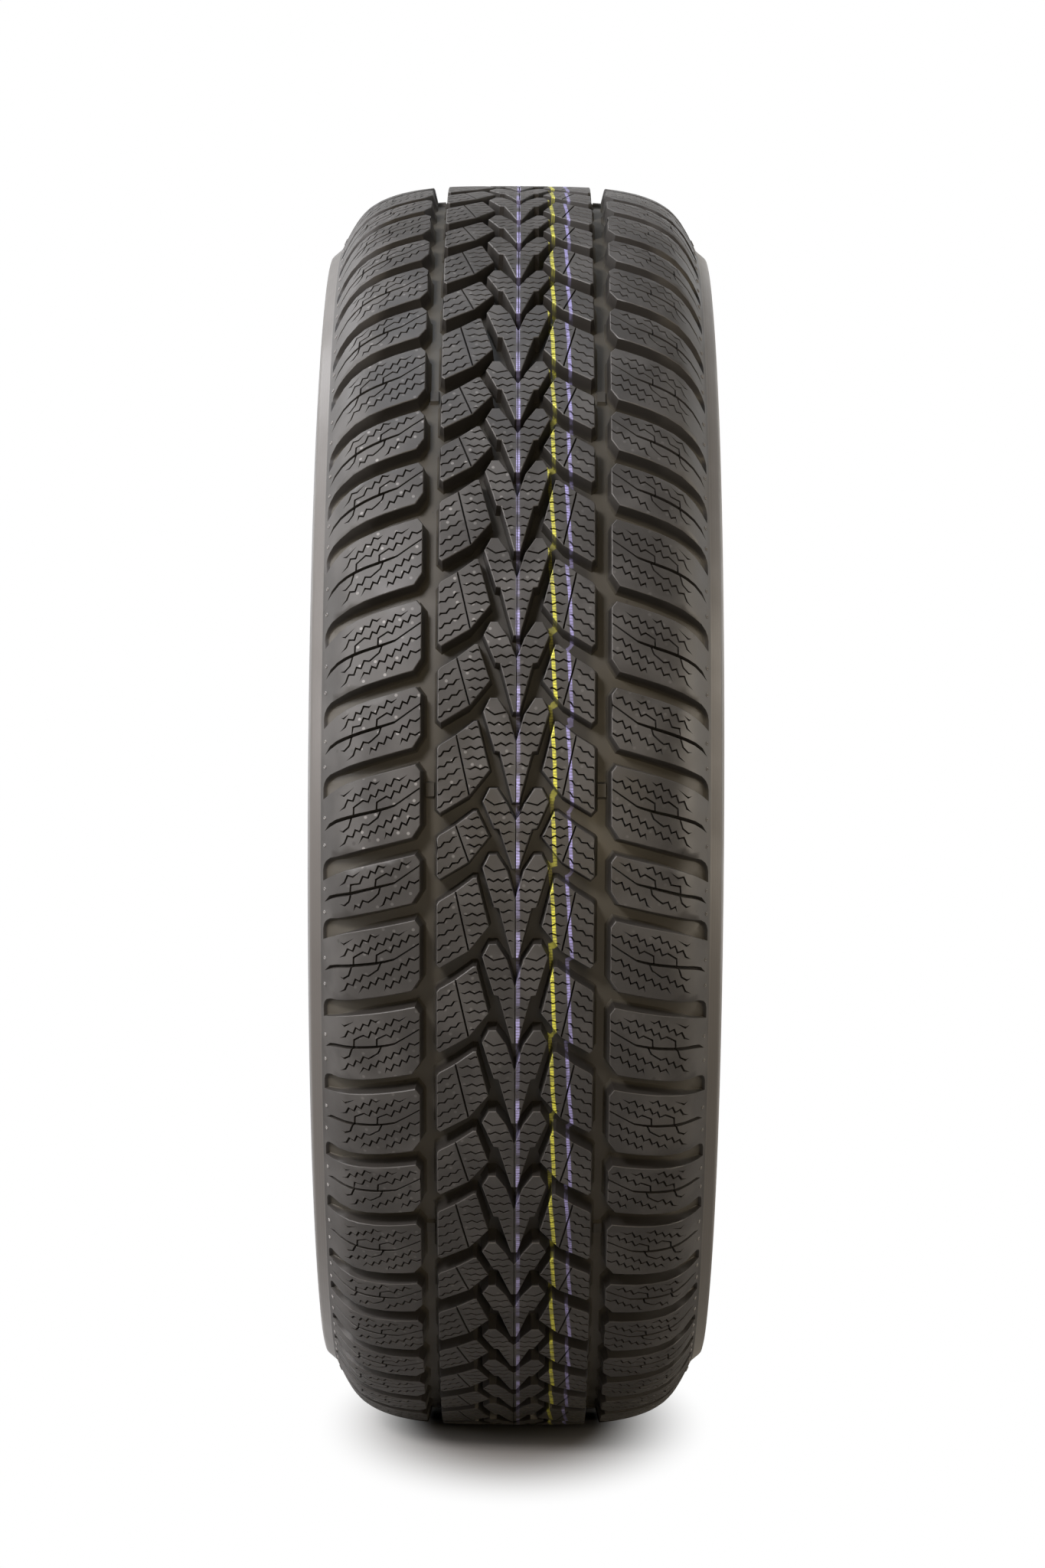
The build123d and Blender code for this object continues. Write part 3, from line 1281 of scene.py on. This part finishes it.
@dataclass(frozen=True)
class RubberSkin:
    """How a rubber takes the light: its roughness, its sheen and its fine bumps."""

    roughness: Point
    specular: float
    sheen: float
    bump_strength: float
    bump_height: float
    sheen_roughness: float = 0.4
    rough_clouds: Point = (0.3, 0.7)

    def finish(self, shader: Shader, colour: Socket, cloud: Socket, height: Socket) -> bpy.types.Material:
        """Closes a material with its surface.

        Args:
            shader: The material's nodes.
            colour: Its colour.
            cloud: The soft patches that its roughness follows.
            height: The height of its bumps.

        Returns:
            The material.
        """
        bumps = {"Strength": self.bump_strength, "Distance": self.bump_height * MM, "Height": height}
        inputs = {
            "Base Color": colour,
            "Roughness": shader.ramp(cloud, *self.rough_clouds, self.roughness),
            "Specular IOR Level": self.specular,
            "Sheen Weight": self.sheen,
            "Sheen Roughness": self.sheen_roughness,
            "Normal": shader.node("Bump", bumps).outputs[0],
        }
        surface = shader.node("BsdfPrincipled", inputs)
        shader.node("OutputMaterial", {"Surface": surface.outputs[0]})
        return shader.owner


@dataclass(frozen=True)
class PaintStripe:
    """A stripe of paint around the tread, left from the works: where it runs and how it has worn."""

    middle: float
    width: float
    colour: Colour
    wander: float
    slant: float
    bare: float
    sunk: float
    worn: float
    lean: float = 0.0042
    slant_from: float = 10.0
    soft_edge: float = 0.2
    waves: Point = (24.0, 1.0)
    wave_middle: float = 0.5
    patches: Point = (260.0, 4.0)
    patch_cover: Ramp = (0.36, 0.60, (0.5, 0.97))
    comb: float = 4.6
    comb_cover: Ramp = (-1.0, 0.4, (0.5, 1.0))
    wall_reach: Point = (0.02, 0.12)
    deep_cover: Ramp = (0.42, 0.6, (1.0, 0.3))
    floor_cover: Ramp = (0.75, 0.98, (0.0, 0.5))
    tip_reach: Point = (-7.0, -3.5)
    root_cover: Ramp = (-10.0, -14.0, (0.0, 0.4))
    worn_reach: Point = (0.0, 0.12)

    def mask(self, shader: Shader, place: Socket, relief: Socket) -> Socket:
        """Works out where the stripe covers the rubber.

        Args:
            shader: The material's nodes.
            place: The place on the object.
            relief: The depth under the tread's top.

        Returns:
            How much paint there is.
        """
        _, moved, up = shader.node("SeparateXYZ", {0: place}).outputs
        late = shader.node("Attribute", attribute_name=LATE).outputs["Fac"]
        wave = shader.math("SUBTRACT", shader.noise(place, *self.waves), self.wave_middle)
        for value, factor in ((wave, self.wander * MM), (up, self.lean), (late, -self.slant * MM)):
            moved = shader.math("ADD", moved, shader.product(value, factor))
        middle = (self.middle + self.slant_from * self.slant) * MM
        away = shader.math("ABSOLUTE", shader.math("SUBTRACT", moved, middle))
        half, soft = self.width / 2 * MM, self.soft_edge * MM
        line = shader.ramp(away, half + soft, half - soft)
        patchy = shader.ramp(shader.noise(place, *self.patches), *self.patch_cover)
        combed = shader.ramp(shader.math("SINE", shader.product(late, self.comb)), *self.comb_cover)
        on_wall = shader.ramp(relief, *self.wall_reach, (1.0, self.sunk))
        on_wall = shader.product(on_wall, shader.ramp(relief, *self.deep_cover))
        reached = shader.math("MAXIMUM", on_wall, shader.ramp(relief, *self.floor_cover))
        tip = shader.ramp(late, *self.tip_reach, (1.0 - self.bare, 1.0))
        tip = shader.math("MAXIMUM", tip, shader.ramp(late, *self.root_cover))
        thin = shader.ramp(up, *self.worn_reach, (1.0, 1.0 - self.worn))
        return shader.product(line, reached, patchy, combed, tip, thin)


@dataclass(frozen=True)
class TreadRubber:
    """Matt tread rubber with dust in the grooves and the painted stripes of the works; painted shade darkens
    its walls, sipes, pits and narrow middle grooves, and a painted highlight lightens its rims.
    """

    top: Colour = (0.052, 0.049, 0.046, 1.0)
    worn: Colour = (0.080, 0.076, 0.072, 1.0)
    # Painted highlight: a lighter line along the rim of every block, where the bevel catches light.
    edge: Colour = (0.15, 0.14, 0.13, 1.0)
    # Painted shade: the walls of the grooves and the sipes take this darker colour, as if unlit.
    wall: Colour = (0.026, 0.023, 0.020, 1.0)
    floor: Colour = (0.066, 0.059, 0.046, 1.0)
    # Painted shade: the floor of the narrow middle grooves is darker, as if occluded.
    shaded_centre_floor: Colour = (0.030, 0.027, 0.022, 1.0)
    dust: Colour = (0.30, 0.29, 0.28, 1.0)
    skin: RubberSkin = RubberSkin((0.40, 0.56), 0.42, 0.05, 0.35, 0.12)
    clouds: Point = (38.0, 5.0)
    grains: Point = (900.0, 3.0)
    grain_share: float = 0.6
    worn_reach: Point = (0.40, 0.66)
    painted_highlight_reach: Ramp = (0.001, 0.004, (0.0, 0.4))
    wall_reach: Ramp = (0.008, 0.04, (0.0, 1.0))
    raised_reach: Ramp = (-0.03, -0.12, (0.0, 0.75))
    floor_reach: Ramp = (0.62, 0.98, (0.0, 1.0))
    shaded_centre_reach: Point = (0.030, 0.036)
    # Pits: painted shade, dark dots in the wall colour where small pits lie in the block tops.
    pit_scale: float = 75.0
    pit_shade_reach: Ramp = (0.085, 0.05, (0.0, 0.5))
    pin_scale: float = 125.0
    pin_scatter: float = 0.7
    pin_size: Point = (0.105, 0.07)
    pin_relief: Point = (0.004, 0.0)
    pin_side: Ramp = (0.03, -0.04, (0.15, 0.8))
    pin_reach: Point = (0.077, 0.069)
    pin_low: Ramp = (-0.12, 0.02, (0.25, 1.0))
    pin_high: Ramp = (0.21, 0.15, (0.4, 1.0))
    pin_clouds: Ramp = (0.35, 0.6, (0.3, 1.0))
    radius: float = 0.311
    stripes: tuple[PaintStripe, ...] = (
        PaintStripe(
            middle=0.9, width=1.7, colour=(0.52, 0.48, 0.86, 1.0),
            wander=0.8, slant=0.0, bare=0.93, sunk=0.8, worn=0.12,
        ),
        PaintStripe(
            middle=16.9, width=1.65, colour=(0.90, 0.87, 0.10, 1.0),
            wander=2.0, slant=0.06, bare=0.0, sunk=0.25, worn=0.25,
        ),
        PaintStripe(
            middle=24.0, width=1.5, colour=(0.45, 0.41, 0.81, 1.0),
            wander=2.0, slant=0.06, bare=0.0, sunk=0.25, worn=0.2,
        ),
    )

    def make(self) -> bpy.types.Material:
        """Builds the material.

        Returns:
            The material.
        """
        shader = Shader(bpy.data.materials.new("tread_rubber"))
        place = shader.node("TexCoord").outputs["Object"]
        relief = shader.node("Attribute", attribute_name=RELIEF).outputs["Fac"]
        ahead, across, up = shader.node("SeparateXYZ", {0: place}).outputs
        aside = shader.math("ABSOLUTE", across)
        cloud, grain = shader.noise(place, *self.clouds), shader.noise(place, *self.grains)
        pits = {"Vector": place, "Scale": self.pit_scale}
        pit = shader.node("TexVoronoi", pits).outputs["Distance"]
        # The groove floor is dusty, and darker in the narrow middle grooves as painted shade.
        floor = shader.mix(shader.ramp(aside, *self.shaded_centre_reach), self.shaded_centre_floor, self.floor)
        colour = shader.mix(shader.ramp(cloud, *self.worn_reach), self.top, self.worn)
        layers = (
            # painted highlight along the block rims
            (relief, self.painted_highlight_reach, self.edge),
            # painted shade on the groove walls and down the sipes
            (relief, self.wall_reach, self.wall),
            (relief, self.raised_reach, self.dust),
            (relief, self.floor_reach, floor),
            # painted shade of small pits
            (pit, self.pit_shade_reach, self.wall),
        )
        for value, reach, layer in layers:
            colour = shader.mix(shader.ramp(value, *reach), colour, layer)
        around = shader.product(shader.math("ARCTAN2", up, ahead), self.radius)
        unrolled = shader.node("CombineXYZ", {0: across, 1: around}).outputs[0]
        pins = {"Vector": unrolled, "Scale": self.pin_scale, "Randomness": self.pin_scatter}
        away = shader.node("TexVoronoi", pins, voronoi_dimensions="2D").outputs["Distance"]
        fades = (
            (away, self.pin_size),
            (relief, self.pin_relief),
            (across, self.pin_side),
            (aside, self.pin_reach),
            (up, self.pin_low),
            (up, self.pin_high),
            (cloud, self.pin_clouds),
        )
        pin = shader.product(*(shader.ramp(value, *reach) for value, reach in fades))
        colour = shader.mix(pin, colour, self.dust)
        for stripe in self.stripes:
            colour = shader.mix(stripe.mask(shader, place, relief), colour, stripe.colour)
        height = shader.math("ADD", shader.product(grain, self.grain_share), cloud)
        return self.skin.finish(shader, colour, cloud, height)


@dataclass(frozen=True)
class CasingRubber:
    """Smooth sidewall rubber with the fine rings that the turned mould leaves, and a lighter buttress band,
    partly dust and partly painted sheen.
    """

    base: Colour = (0.062, 0.057, 0.053, 1.0)
    # The lighter band on the buttress: partly dust on the rubber, partly a painted sheen where light grazes
    # it.
    dust_and_sheen: Colour = (0.108, 0.100, 0.092, 1.0)
    dust_and_sheen_reach: Point = (0.255, 0.279)
    dust_and_sheen_wander: float = 0.01
    skin: RubberSkin = RubberSkin((0.36, 0.52), 0.45, 0.3, 0.3, 0.08)
    clouds: Point = (26.0, 5.0)
    grains: Point = (700.0, 3.0)
    grain_share: float = 0.5
    ring_pitch: float = 0.9
    ring_share: float = 0.25

    def make(self) -> bpy.types.Material:
        """Builds the material.

        Returns:
            The material.
        """
        shader = Shader(bpy.data.materials.new("casing_rubber"))
        place = shader.node("TexCoord").outputs["Object"]
        ahead, _, up = shader.node("SeparateXYZ", {0: place}).outputs
        squares = [shader.product(value, value) for value in (ahead, up)]
        radius = shader.math("SQRT", shader.math("ADD", *squares))
        rings = shader.math("SINE", shader.product(radius, 2 * math.pi / (self.ring_pitch * MM)))
        cloud, grain = shader.noise(place, *self.clouds), shader.noise(place, *self.grains)
        # Lighter towards the buttress: partly dust, partly painted sheen.
        dust_and_sheen_radius = shader.math("ADD", radius, shader.product(cloud, self.dust_and_sheen_wander))
        colour = shader.mix(shader.ramp(dust_and_sheen_radius, *self.dust_and_sheen_reach), self.base, self.dust_and_sheen)
        shares = ((rings, self.ring_share), (grain, self.grain_share))
        height = shader.math("ADD", *(shader.product(value, share) for value, share in shares))
        return self.skin.finish(shader, colour, cloud, height)


@dataclass(frozen=True)
class SoftLight:
    """A soft light that points at the tyre."""

    name: str
    at: Triple
    size: Point
    power: float
    colour: Triple

    def hang(self) -> None:
        """Adds the light to the scene."""
        lamp = bpy.data.lights.new(self.name, "AREA")
        lamp.shape, lamp.size, lamp.size_y = "RECTANGLE", *self.size
        lamp.energy, lamp.color = self.power, self.colour
        holder = bpy.data.objects.new(self.name, lamp)
        holder.location = self.at
        holder.rotation_euler = (-Vector(self.at)).to_track_quat("-Z", "Y").to_euler()
        bpy.context.scene.collection.objects.link(holder)


@dataclass
class Studio:
    """A white floor and backdrop, soft lights and the camera of the photograph."""

    ground: float
    floor_size: float = 9.0
    # Grey floor paint, seen near the tyre only: a painted shadow around the rendered one.
    floor_colour: Colour = (0.26, 0.25, 0.24, 1.0)
    floor_roughness: float = 0.5
    painted_shadow_spread: Triple = (0.32, 0.1, 1.0)
    white_reach: Point = (0.4, 1.0)
    lamps: tuple[SoftLight, ...] = (
        SoftLight("key_light", (2.15, -1.25, 1.55), (0.6, 0.6), 58.0, (1.0, 0.965, 0.975)),
        SoftLight("top_light", (0.3, -0.4, 1.5), (1.0, 1.0), 7.0, (0.80, 0.88, 1.0)),
        SoftLight("left_light", (0.6, -1.4, 0.6), (0.8, 1.2), 20.0, (1.0, 0.97, 0.97)),
        SoftLight("rim_light", (-0.7, -1.2, 1.2), (0.8, 0.8), 8.0, (0.97, 0.97, 1.0)),
        SoftLight("right_light", (0.1, 1.6, 0.0), (0.8, 1.3), 14.0, (1.0, 0.88, 0.72)),
        SoftLight("front_light", (2.8, 0.5, 0.0), (0.8, 0.8), 13.0, (1.0, 0.81, 0.52)),
    )
    room_light: tuple[float, float, float, float] = (-0.35, 0.40, 1.0, 0.06)
    room_height: tuple[float, float, float, float] = (0.25, 0.65, 1.0, 0.25)
    camera_at: Triple = (2.5, 0.0029, 0.01066)
    camera_lens: float = 113.4
    camera_sensor: float = 36.0
    camera_roll: float = 0.27

    def floor(self) -> None:
        """Lays the floor: grey paint near the tyre, in an ellipse shaped to its shadow as a painted shadow
        around the rendered one, and white further out.
        """
        half = self.floor_size / 2
        mesh = bpy.data.meshes.new("studio_floor")
        corners = [(-half, -half, 0), (half, -half, 0), (half, half, 0), (-half, half, 0)]
        mesh.from_pydata(corners, [], [(0, 1, 2, 3)])
        floor = bpy.data.objects.new("studio_floor", mesh)
        floor.location.z = self.ground
        bpy.context.scene.collection.objects.link(floor)
        shader = Shader(bpy.data.materials.new("white_floor"))
        paint = {
            "Base Color": self.floor_colour,
            "Roughness": self.floor_roughness,
            "Specular IOR Level": 0.0,
        }
        place = {0: shader.node("TexCoord").outputs["Object"], 1: self.painted_shadow_spread}
        spread_out = shader.node("VectorMath", place, operation="DIVIDE").outputs[0]
        far = shader.node("VectorMath", {0: spread_out}, operation="LENGTH").outputs["Value"]
        # Within an ellipse around the contact the camera sees the grey paint, a painted shadow; further out
        # it sees white.
        seen = shader.node("LightPath").outputs["Is Camera Ray"]
        layers = {
            0: shader.product(shader.ramp(far, *self.white_reach), seen),
            1: shader.node("BsdfPrincipled", paint).outputs[0],
            2: shader.node("Emission", {"Color": WHITE, "Strength": 1.0}).outputs[0],
        }
        surface = shader.node("MixShader", layers).outputs[0]
        shader.node("OutputMaterial", {"Surface": surface})
        mesh.materials.append(shader.owner)

    def lights(self) -> None:
        """Hangs every light and sets the room: a white backdrop behind the tyre, dim in front of it."""
        for lamp in self.lamps:
            lamp.hang()
        room = Shader(bpy.data.worlds.new("room"))
        bpy.context.scene.world = room.owner
        towards = room.node("TexCoord").outputs["Generated"]
        ahead, _, up = room.node("SeparateXYZ", {0: towards}).outputs
        levels = [
            room.node("MapRange", dict(enumerate((value, *span)))).outputs[0]
            for value, span in ((ahead, self.room_light), (up, self.room_height))
        ]
        soft = {"Color": WHITE, "Strength": room.product(*levels)}
        layers = {
            0: room.node("LightPath").outputs["Is Camera Ray"],
            1: room.node("Background", soft).outputs[0],
            2: room.node("Background", {"Color": WHITE}).outputs[0],
        }
        surface = room.node("MixShader", layers).outputs[0]
        room.node("OutputWorld", {"Surface": surface})

    def camera(self) -> None:
        """Sets up the camera where the photograph was taken from."""
        lens = bpy.data.cameras.new("camera")
        lens.lens = self.camera_lens
        lens.sensor_width = self.camera_sensor
        lens.dof.use_dof = False
        holder = bpy.data.objects.new("camera", lens)
        level = Vector((-1.0, 0.0, 0.0)).to_track_quat("-Z", "Y").to_matrix().to_4x4()
        roll = Matrix.Rotation(math.radians(self.camera_roll), 4, "Z")
        holder.matrix_world = Matrix.Translation(Vector(self.camera_at)) @ level @ roll
        bpy.context.scene.collection.objects.link(holder)
        bpy.context.scene.camera = holder


def main() -> None:
    """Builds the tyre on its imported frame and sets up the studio."""
    logging.basicConfig(level=logging.INFO, format="%(message)s")
    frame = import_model()
    bpy.context.scene.view_settings.view_transform = "Standard"
    low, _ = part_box("tyre")
    seat_radius = frame["record"]["mounts"][0]["dims"]["r_mm"]
    crown, sheet, parts = Crown(ground=low.z / MM), UvSheet(), MeshParts()
    tread, casing = Tread(crown, sheet), Casing(crown, sheet, seat_radius)
    tread.build(parts)
    casing.build(parts, tread.columns(), tread.circumference)
    tyre = parts.make("tyre_moulding")
    tyre.data.materials.append(TreadRubber().make())
    tyre.data.materials.append(CasingRubber().make())
    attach(tyre, "root")
    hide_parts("tyre")
    studio = Studio(ground=low.z)
    studio.floor()
    studio.lights()
    studio.camera()


if __name__ == "__main__":
    main()
